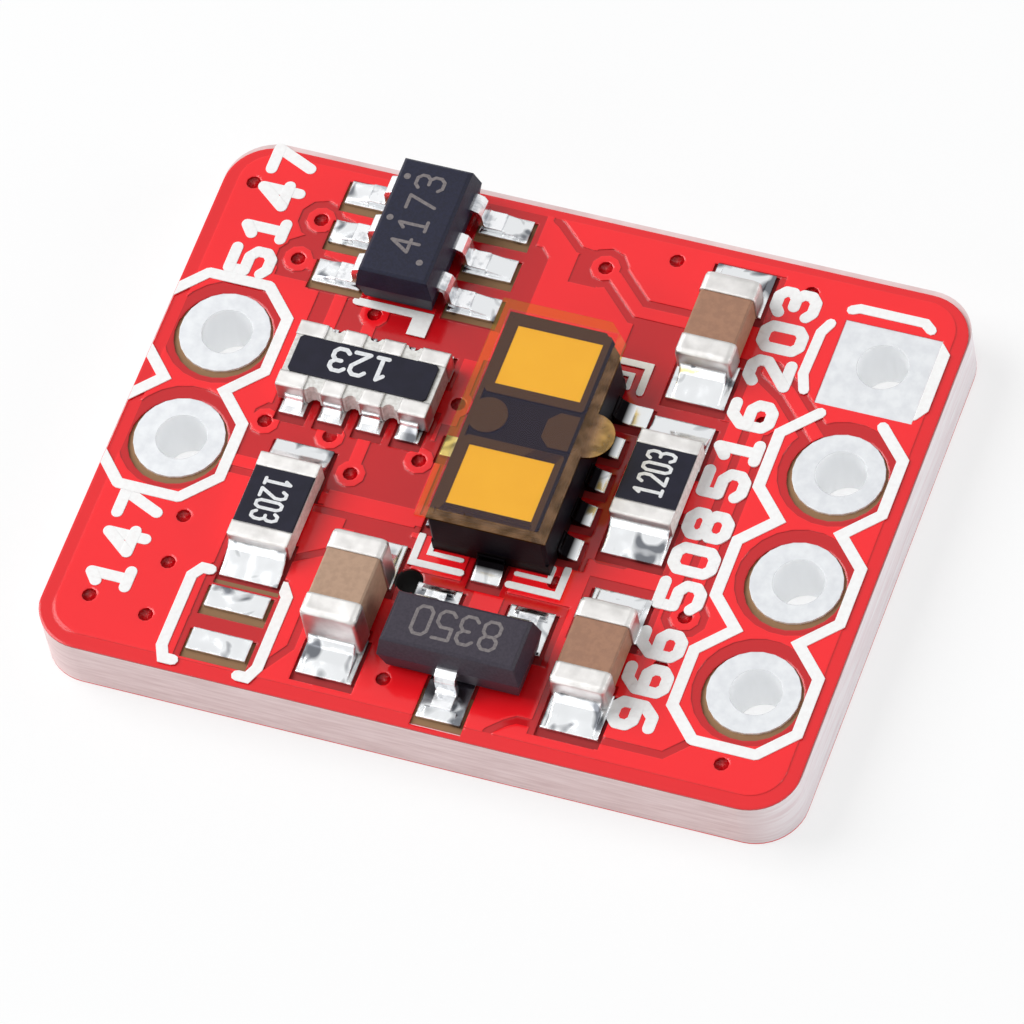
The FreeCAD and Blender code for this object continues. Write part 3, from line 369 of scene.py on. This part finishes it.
def metalMaterial(name):
    look = dict(metalGrain, **metalLooks[name])
    material, tree, out, place = newMaterial(name)
    grain = addNode(tree, "ShaderNodeTexNoise",
                    {"Scale": perMetre(look["grain"]), "Detail": look["detail"],
                     "Distortion": look["swirl"]}, {"Vector": place}).outputs["Fac"]
    spread = addNode(tree, "ShaderNodeMapRange",
                     {"From Min": look["spread"][0], "From Max": look["spread"][1]}, {"Value": grain})
    # the dull colour is grain on lands and terminals, painted dark reflection on solder and leads
    colour = addNode(tree, "ShaderNodeMix",
                     {"data_type": "RGBA", 6: hexColour(look["dullGrainAndDarkReflection"]), 7: hexColour(look["colour"])},
                     {0: spread.outputs["Result"]})
    # near the sensor the solder is painted near black: a painted reflection of the sensor's black side
    if "mirrored" in look:
        outward = addNode(tree, "ShaderNodeMapRange",
                          {"From Min": look["reach"][0] * mm, "From Max": look["reach"][1] * mm},
                          {"Value": boxDistance(tree, place, sensor["middle"], sensor["half"])})
        colour = addNode(tree, "ShaderNodeMix", {"data_type": "RGBA", 6: hexColour(look["mirrored"])},
                         {0: outward.outputs["Result"], 7: colour.outputs[2]})
    # the walls of the holes are painted paler: painted light inside the holes
    if "wall" in look:
        facing = addNode(tree, "ShaderNodeNewGeometry").outputs["Normal"]
        upward = addNode(tree, "ShaderNodeSeparateXYZ", {}, {"Vector": facing}).outputs["Z"]
        level = addNode(tree, "ShaderNodeMath", {"operation": "ABSOLUTE"}, {0: upward})
        flat = addNode(tree, "ShaderNodeMapRange",
                       {"From Min": look["wallLevel"][0], "From Max": look["wallLevel"][1]},
                       {"Value": level.outputs[0]})
        colour = addNode(tree, "ShaderNodeMix", {"data_type": "RGBA", 6: hexColour(look["wall"])},
                         {0: flat.outputs["Result"], 7: colour.outputs[2]})
    rough = addNode(tree, "ShaderNodeMapRange",
                    {"To Min": look["roughness"][1], "To Max": look["roughness"][0]}, {"Value": grain})
    lumps = addNode(tree, "ShaderNodeTexNoise", {"Scale": perMetre(look["lump"]), "Detail": 1.0},
                    {"Vector": place}).outputs["Fac"]
    eased = addNode(tree, "ShaderNodeBevel", {"samples": easeSamples, "Radius": look["ease"] * mm})
    bump = addNode(tree, "ShaderNodeBump", {"Strength": 1.0, "Distance": look["depth"] * mm},
                   {"Height": lumps, "Normal": eased.outputs["Normal"]})
    shader = addNode(tree, "ShaderNodeBsdfPrincipled", {"Metallic": look["metallic"]},
                     {"Base Color": colour.outputs[2], "Roughness": rough.outputs["Result"],
                      "Normal": bump.outputs["Normal"]})
    finishMaterial(tree, out, shader)
    return material


# Everything that isn't metal. grain is the size in mm at which the second colour mixes in. The real
# grain of most of them is finer, and is drawn as coarse as it needs to show.
plainLooks = {
    # epoxy filled with ground silica, moulded in a spark-cut mould: a fine matt black with a blue cast
    "mouldedEpoxyBlack": {"colour": "#171930", "second": "#111226", "grain": 0.05, "depth": 0.003,
                          "roughness": 0.45, "ease": 0.03, "ior": 1.34},
    # the same moulding with more filler: a warmer dark grey
    "mouldedEpoxyGrey": {"colour": "#3a343f", "second": "#312c37", "grain": 0.05, "depth": 0.003,
                         "roughness": 0.42, "ease": 0.03, "ior": 1.34},
    # the sensor's base, moulded smooth in black polymer: it gives back next to no light
    "lowerHousingBlack": {"colour": "#0b0709", "second": "#070507", "grain": 0.06, "depth": 0.003,
                          "roughness": 0.4, "ease": 0.02, "ior": 1.2},
    # black glass printed on the resistors and fired: smooth, with a soft gloss
    "firedGlazeBlack": {"colour": "#0b0a1f", "second": "#121126", "grain": 0.3, "depth": 0.002,
                        "roughness": 0.28, "ease": 0.03, "ior": 1.35},
    # alumina, pressed and fired: a dry, even white
    "aluminaWhite": {"colour": "#efeeea", "second": "#d9d7d2", "grain": 0.08, "depth": 0.003,
                     "roughness": 0.6, "ease": 0.02},
    # layers of ceramic, fired in one block and tumbled: matt tan with rounded edges
    "capacitorCeramicTan": {"colour": "#b5937a", "second": "#ab8a72", "grain": 0.12, "depth": 0.003,
                            "roughness": 0.5, "ease": 0.03},
    # the same of another mix, browner
    "capacitorCeramicBrown": {"colour": "#a3775d", "second": "#996f57", "grain": 0.12, "depth": 0.003,
                              "roughness": 0.5, "ease": 0.03},
    # epoxy ink, screen printed and baked: a thick even white
    "legendInkWhite": {"colour": "#fdfdfc", "second": "#f9f7f6", "grain": 0.1, "depth": 0.003,
                       "roughness": 0.55, "ease": 0.015},
    # resin burnt by a laser: a thin dull grey
    "laserMarkGrey": {"colour": "#7e7777", "second": "#6c6567", "grain": 0.05, "depth": 0.0,
                      "roughness": 0.7, "ease": 0.005},
    # code printed on the glaze: a crisp, slightly grey white
    "printedCodeWhite": {"colour": "#eeeff1", "second": "#dddfe2", "grain": 0.06, "depth": 0.0,
                         "roughness": 0.5, "ease": 0.005},
    # glass coated in a vacuum so that only infrared passes: an even yellow, gold under the film
    "coatedWindowGold": {"colour": "#fbec6c", "second": "#f8e762", "grain": 1.1, "depth": 0.0,
                         "roughness": 0.35, "ease": 0.01},
    # silicon, sawn from a polished wafer: a cold grey mirror
    "polishedSilicon": {"colour": "#565a66", "second": "#4a4e5a", "grain": 0.2, "depth": 0.0,
                        "roughness": 0.15, "ease": 0.01},
}
plainGrain = {"ior": 1.5, "detail": 4.0, "spread": (0.4, 0.62)}


def grainTexture(tree, place, look):
    return addNode(tree, "ShaderNodeTexNoise",
                   {"Scale": perMetre(look["grain"]), "Detail": plainGrain["detail"]},
                   {"Vector": place}).outputs["Fac"]


def grainedShader(tree, look, colour, grain):
    # the grain stands out as relief, and edges are softened
    eased = addNode(tree, "ShaderNodeBevel", {"samples": easeSamples, "Radius": look["ease"] * mm})
    bump = addNode(tree, "ShaderNodeBump", {"Strength": 1.0, "Distance": look["depth"] * mm},
                   {"Height": grain, "Normal": eased.outputs["Normal"]})
    return addNode(tree, "ShaderNodeBsdfPrincipled", {"Roughness": look["roughness"], "IOR": look["ior"]},
                   {"Base Color": colour.outputs[2], "Normal": bump.outputs["Normal"]})


def plainMaterial(name):
    look = dict(plainGrain, **plainLooks[name])
    material, tree, out, place = newMaterial(name)
    grain = grainTexture(tree, place, look)
    spread = addNode(tree, "ShaderNodeMapRange",
                     {"From Min": look["spread"][0], "From Max": look["spread"][1]}, {"Value": grain})
    colour = addNode(tree, "ShaderNodeMix",
                     {"data_type": "RGBA", 6: hexColour(look["colour"]), 7: hexColour(look["second"])},
                     {0: spread.outputs["Result"]})
    finishMaterial(tree, out, grainedShader(tree, look, colour, grain))
    return material


# Sensor cap: moulded black liquid-crystal polymer. Where its frames touch the film, the film's amber
# shows as brown; the recess between them, and the edge that the film lifts off, stay a cold black.
capLook = {"touching": "#4b403b", "recess": "#05060e", "recessTop": 2.415, "frameTop": 2.44,
           "lifted": 1.41, "grain": 0.06, "depth": 0.003, "roughness": 0.45, "ease": 0.02, "ior": 1.2}


def capMaterial():
    look = capLook
    material, tree, out, place = newMaterial("sensorHousingBlack")
    at = addNode(tree, "ShaderNodeSeparateXYZ", {}, {"Vector": place})
    raised = addNode(tree, "ShaderNodeMapRange",
                     {"From Min": look["recessTop"] * mm, "From Max": look["frameTop"] * mm},
                     {"Value": at.outputs["Z"]})
    pressed = addNode(tree, "ShaderNodeMath", {"operation": "LESS_THAN", 1: look["lifted"] * mm},
                      {0: at.outputs["X"]})
    touching = addNode(tree, "ShaderNodeMath", {"operation": "MULTIPLY"},
                       {0: raised.outputs["Result"], 1: pressed.outputs[0]})
    colour = addNode(tree, "ShaderNodeMix",
                     {"data_type": "RGBA", 6: hexColour(look["recess"]), 7: hexColour(look["touching"])},
                     {0: touching.outputs[0]})
    grain = grainTexture(tree, place, look)
    finishMaterial(tree, out, grainedShader(tree, look, colour, grain))
    return material


# Film: clear amber polyimide tape. It tints what lies under it, and a ray crosses two faces each way,
# so each face has a weak tint. Over the sensor only its skin mirrors the room a little; where it hangs
# out past the sensor, light that runs inside it comes out as an orange haze. Its front and right edges
# are folded, so they scatter some of the light, and the crumpled tab scatters most of it.
filmLook = {
    "tint": "#ffefb7", "gloss": "#c8caff", "haze": "#b09a5c", "folded": "#e0ae88", "crumpled": "#e0b064",
    # share of the light that the upper skin takes, in each region
    "overSensor": 0.042, "overhang": 0.21, "overFold": 0.19, "overTab": 0.5,
    # the film inside foldBox lies unfolded
    "foldBox": {"middle": (-1.25, 2.04), "half": (2.75, 3.98)}, "tabFrom": 1.74, "tabTo": 2.0,
    "overhangEdge": 0.03, "crease": 0.28, "creaseSpread": (0.35, 0.65), "creaseShade": (0.55, 1.35),
    "ripple": 1.3, "rippleDepth": 0.01, "skin": 2.49, "roughness": 0.15,
}


def filmMaterial():
    look = filmLook
    material, tree, out, place = newMaterial("polyimideFilmAmber")
    clear = addNode(tree, "ShaderNodeBsdfTransparent", {"Color": hexColour(look["tint"])})
    at = addNode(tree, "ShaderNodeSeparateXYZ", {}, {"Vector": place})
    pastSensor = boxDistance(tree, place, sensor["middle"], sensor["half"])
    overhang = addNode(tree, "ShaderNodeMapRange",
                       {"From Min": 0.0, "From Max": look["overhangEdge"] * mm},
                       {"Value": pastSensor}).outputs["Result"]
    onTab = addNode(tree, "ShaderNodeMapRange",
                    {"From Min": look["tabFrom"] * mm, "From Max": look["tabTo"] * mm},
                    {"Value": at.outputs["X"]}).outputs["Result"]
    pastFold = boxDistance(tree, place, look["foldBox"]["middle"], look["foldBox"]["half"])
    folded = addNode(tree, "ShaderNodeMath", {"operation": "GREATER_THAN", 1: 0.0},
                     {0: pastFold}).outputs[0]
    smooth = addNode(tree, "ShaderNodeMix",
                     {"data_type": "RGBA", 6: hexColour(look["gloss"]), 7: hexColour(look["haze"])},
                     {0: overhang})
    folds = addNode(tree, "ShaderNodeTexNoise", {"Scale": perMetre(look["crease"]), "Detail": 2.0},
                    {"Vector": place}).outputs["Fac"]
    shade = addNode(tree, "ShaderNodeMapRange",
                    {"From Min": look["creaseSpread"][0], "From Max": look["creaseSpread"][1],
                     "To Min": look["creaseShade"][0], "To Max": look["creaseShade"][1]},
                    {"Value": folds})
    bent = addNode(tree, "ShaderNodeMix",
                   {"data_type": "RGBA", 6: hexColour(look["folded"]), 7: hexColour(look["crumpled"])},
                   {0: onTab})
    crumpled = addNode(tree, "ShaderNodeVectorMath", {"operation": "SCALE"},
                       {"Vector": bent.outputs[2], "Scale": shade.outputs["Result"]})
    colour = addNode(tree, "ShaderNodeMix", {"data_type": "RGBA"},
                     {0: folded, 6: smooth.outputs[2], 7: crumpled.outputs[0]})
    # the skin mirrors the room where it is neither hazy nor folded
    hazy = addNode(tree, "ShaderNodeMath", {"operation": "MAXIMUM"}, {0: overhang, 1: folded})
    mirror = addNode(tree, "ShaderNodeMath", {"operation": "SUBTRACT", 0: 1.0}, {1: hazy.outputs[0]})
    ripple = addNode(tree, "ShaderNodeTexNoise", {"Scale": perMetre(look["ripple"]), "Detail": 1.0},
                     {"Vector": place})
    bump = addNode(tree, "ShaderNodeBump", {"Strength": 1.0, "Distance": look["rippleDepth"] * mm},
                   {"Height": ripple.outputs["Fac"]})
    skin = addNode(tree, "ShaderNodeBsdfPrincipled", {"Roughness": look["roughness"]},
                   {"Base Color": colour.outputs[2], "Metallic": mirror.outputs[0],
                    "Normal": bump.outputs["Normal"]})
    onTop = addNode(tree, "ShaderNodeMath", {"operation": "GREATER_THAN", 1: look["skin"] * mm},
                    {0: at.outputs["Z"]})
    cover = addNode(tree, "ShaderNodeMapRange",
                    {"To Min": look["overSensor"], "To Max": look["overhang"]}, {"Value": overhang})
    atFold = addNode(tree, "ShaderNodeMapRange", {"To Max": look["overFold"]},
                     {"Value": folded, "To Min": cover.outputs["Result"]})
    thick = addNode(tree, "ShaderNodeMapRange", {"To Max": look["overTab"]},
                    {"Value": onTab, "To Min": atFold.outputs["Result"]})
    share = addNode(tree, "ShaderNodeMath", {"operation": "MULTIPLY"},
                    {0: thick.outputs["Result"], 1: onTop.outputs[0]})
    mixed = addNode(tree, "ShaderNodeMixShader", {},
                    {"Fac": share.outputs[0], 1: clear.outputs[0], 2: skin.outputs[0]})
    tree.links.new(mixed.outputs[0], out.inputs["Surface"])
    return material


materials = {name: metalMaterial(name) for name in metalLooks}
materials.update({name: plainMaterial(name) for name in plainLooks})
materials["solderMaskRedGloss"] = maskMaterial()
materials["glassEpoxyLaminate"] = laminateMaterial()
materials["polyimideFilmAmber"] = filmMaterial()
materials["sensorHousingBlack"] = capMaterial()
print("materials made:", len(materials))

finishes = {
    "laminate": "glassEpoxyLaminate",
    "solder_mask_top": "solderMaskRedGloss",
    "solder_mask_bottom": "solderMaskRedGloss",
    "legend_outlines": "legendInkWhite",
    "sensor_base": "lowerHousingBlack",
    "sensor_cap": "sensorHousingBlack",
    "sensor_lands": "platedLeadTin",
    "sensor_solder": "reflowedSolderPaintedReflection",
    "emitter_window": "coatedWindowGold",
    "receiver_window": "coatedWindowGold",
    "emitter_chip": "polishedSilicon",
    "receiver_chip": "polishedSilicon",
    "protective_film": "polyimideFilmAmber",
    "level_shifter_body": "mouldedEpoxyBlack",
    "regulator_body": "mouldedEpoxyGrey",
    "front_left_capacitor_ceramic": "capacitorCeramicTan",
    "front_right_capacitor_ceramic": "capacitorCeramicBrown",
    "rear_right_capacitor_ceramic": "capacitorCeramicBrown",
}
endings = {
    "_solder": "reflowedSolder", "_leads": "platedLeadTin", "_end_caps": "platedTerminalTin",
    "_terminals": "platedTerminalTin", "_glaze": "firedGlazeBlack", "_ceramic": "aluminaWhite",
}
for nodeName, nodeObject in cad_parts.items():
    finish = finishes.get(nodeName)
    if nodeName.startswith("plated_hole"):
        finish = "tinnedLandSatin"
    for ending, material in endings.items():
        if finish is None and nodeName.endswith(ending):
            finish = material
    nodeObject.data.materials.clear()
    nodeObject.data.materials.append(materials[finish])
print("CAD nodes finished")

# Plain digits, each drawn as strokes of a round pen in a box boxWide wide and 1 high. Each stroke
# lies higher than the last by lift, in mm, so that no two tops share a plane.
penLook = {"boxWide": 0.6, "segments": 16, "dotSegments": 20, "lift": 0.0003}
digitStrokes = {
    "0": [[(0.0, 0.15), (0.0, 0.85), (0.15, 1.0), (0.45, 1.0), (0.6, 0.85), (0.6, 0.15), (0.45, 0.0),
           (0.15, 0.0), (0.0, 0.15)]],
    "1": [[(0.08, 0.8), (0.3, 1.0), (0.3, 0.0)], [(0.08, 0.0), (0.52, 0.0)]],
    "2": [[(0.0, 0.85), (0.15, 1.0), (0.45, 1.0), (0.6, 0.85), (0.6, 0.62), (0.0, 0.0), (0.6, 0.0)]],
    "3": [[(0.0, 0.87), (0.15, 1.0), (0.45, 1.0), (0.6, 0.85), (0.6, 0.66), (0.45, 0.53), (0.22, 0.53)],
          [(0.45, 0.53), (0.6, 0.38), (0.6, 0.15), (0.45, 0.0), (0.15, 0.0), (0.0, 0.13)]],
    "4": [[(0.45, 0.0), (0.45, 1.0), (0.0, 0.33), (0.6, 0.33)]],
    "5": [[(0.6, 1.0), (0.0, 1.0), (0.0, 0.58), (0.42, 0.58), (0.6, 0.42), (0.6, 0.15), (0.45, 0.0),
           (0.15, 0.0), (0.0, 0.13)]],
    "6": [[(0.55, 1.0), (0.25, 1.0), (0.0, 0.7), (0.0, 0.15), (0.15, 0.0), (0.45, 0.0), (0.6, 0.15),
           (0.6, 0.4), (0.45, 0.55), (0.0, 0.55)]],
    "7": [[(0.0, 1.0), (0.6, 1.0), (0.22, 0.0)]],
    "8": [[(0.15, 0.53), (0.0, 0.66), (0.0, 0.86), (0.15, 1.0), (0.45, 1.0), (0.6, 0.86), (0.6, 0.66),
           (0.45, 0.53), (0.15, 0.53), (0.0, 0.38), (0.0, 0.15), (0.15, 0.0), (0.45, 0.0), (0.6, 0.15),
           (0.6, 0.38), (0.45, 0.53)]],
    "9": [[(0.05, 0.0), (0.35, 0.0), (0.6, 0.3), (0.6, 0.85), (0.45, 1.0), (0.15, 1.0), (0.0, 0.85),
           (0.0, 0.6), (0.15, 0.45), (0.6, 0.45)]],
}


def penStroke(bm, start, end, radius, low, high):
    # a flat bar with round ends: the hull of a disc at each end, low and high
    corners = []
    for x, y in (start, end):
        for z in (low, high):
            ring = bmesh.ops.create_circle(bm, segments=penLook["segments"], radius=radius,
                                           matrix=Matrix.Translation((x, y, z)))
            corners += ring["verts"]
    bmesh.ops.convex_hull(bm, input=corners)


def printedNumber(name, mark):
    # digits along mark["along"], their tops towards mark["up"]; sunk keeps their feet in the surface
    bm = bmesh.new()
    along = Vector(mark["along"])
    up = Vector(mark["up"])
    origin = Vector(mark["start"])
    low = (mark["level"] - mark["sunk"]) * mm
    top = (mark["level"] + mark["ink"]) * mm
    for k, digit in enumerate(mark["digits"]):
        corner = origin + along * (k * mark["step"])
        across = along * mark["wide"] / penLook["boxWide"]
        upward = up * mark["high"]
        high = top
        for line in digitStrokes[digit]:
            points = [(corner + across * u + upward * v) * mm for u, v in line]
            for start, end in zip(points, points[1:]):
                penStroke(bm, start, end, mark["pen"] / 2 * mm, low, high)
                high += penLook["lift"] * mm
    for x, y in mark.get("dots", []):
        radius = mark["dot"] / 2 * mm
        bmesh.ops.create_cone(bm, cap_ends=True, segments=penLook["dotSegments"], radius1=radius,
                              radius2=radius, depth=top - low,
                              matrix=Matrix.Translation((x * mm, y * mm, (low + top) / 2)))
    loose = [vertex for vertex in bm.verts if not vertex.link_faces]
    bmesh.ops.delete(bm, geom=loose, context="VERTS")
    bmesh.ops.recalc_face_normals(bm, faces=bm.faces)
    mesh = bpy.data.meshes.new(name)
    bm.to_mesh(mesh)
    bm.free()
    piece = bpy.data.objects.new(name, mesh)
    bpy.context.scene.collection.objects.link(piece)
    mesh.materials.append(materials[mark["finish"]])
    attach(piece, "root")


# Where the numbers go: start is the first digit's lower left corner, and step the way to the next one.
# Bought-in parts stand on the solder's seat.
seat = board["thick"] + 0.03
legendPrint = {"finish": "legendInkWhite", "slot": "legend_ink", "ink": 0.012, "sunk": 0.022}
laserMark = {"finish": "laserMarkGrey", "slot": "legend_ink", "ink": 0.001, "sunk": 0.01, "pen": 0.07,
             "level": seat + 1.05}
glazePrint = {"finish": "printedCodeWhite", "slot": "legend_ink", "ink": 0.003, "sunk": 0.01}
rowLabel = dict(legendPrint, along=(0, 1), up=(-1, 0), high=0.76, wide=0.5, step=0.82, pen=0.235,
                level=board["thick"])
resistorMark = dict(glazePrint, digits="1203", wide=0.17, pen=0.07, level=seat + 0.48)
numbers = {
    "labelRight1": dict(rowLabel, digits="203", start=(4.61, 3.12)),
    "labelRight2": dict(rowLabel, digits="516", start=(4.61, 0.47)),
    "labelRight3": dict(rowLabel, digits="508", start=(4.61, -2.15)),
    "labelRight4": dict(rowLabel, digits="966", start=(4.61, -4.9)),
    "labelLeft1": dict(rowLabel, digits="5147", start=(-6.12, 2.97), step=0.81),
    "labelLeft2": dict(rowLabel, digits="147", start=(-6.22, -4.6)),
    "shifterMark": dict(laserMark, digits="4173", start=(-3.02, 3.56), along=(0, 1), up=(-1, 0),
                        high=0.56, wide=0.3, step=0.5,
                        dots=[(-3.8, 5.26), (-3.8, 4.26), (-2.87, 3.39)], dot=0.14),
    "regulatorMark": dict(laserMark, digits="8350", start=(1.52, -4.0), along=(-1, 0), up=(0, -1),
                          high=0.62, wide=0.32, step=0.46),
    "arrayMark": dict(glazePrint, digits="123", start=(-2.8, 1.4), along=(-1, 0), up=(0, -1),
                      high=0.5, wide=0.3, step=0.42, pen=0.09, level=seat + 0.54),
    "leftResistorMark": dict(resistorMark, start=(-4.24, -1.72), along=(0, -1), up=(1, 0),
                             high=0.52, step=0.26),
    "rightResistorMark": dict(resistorMark, start=(3.28, -0.18), along=(0, 1), up=(-1, 0),
                              high=0.55, step=0.27),
}
for name, mark in numbers.items():
    printedNumber(name, mark)
print("numbers printed:", len(numbers))
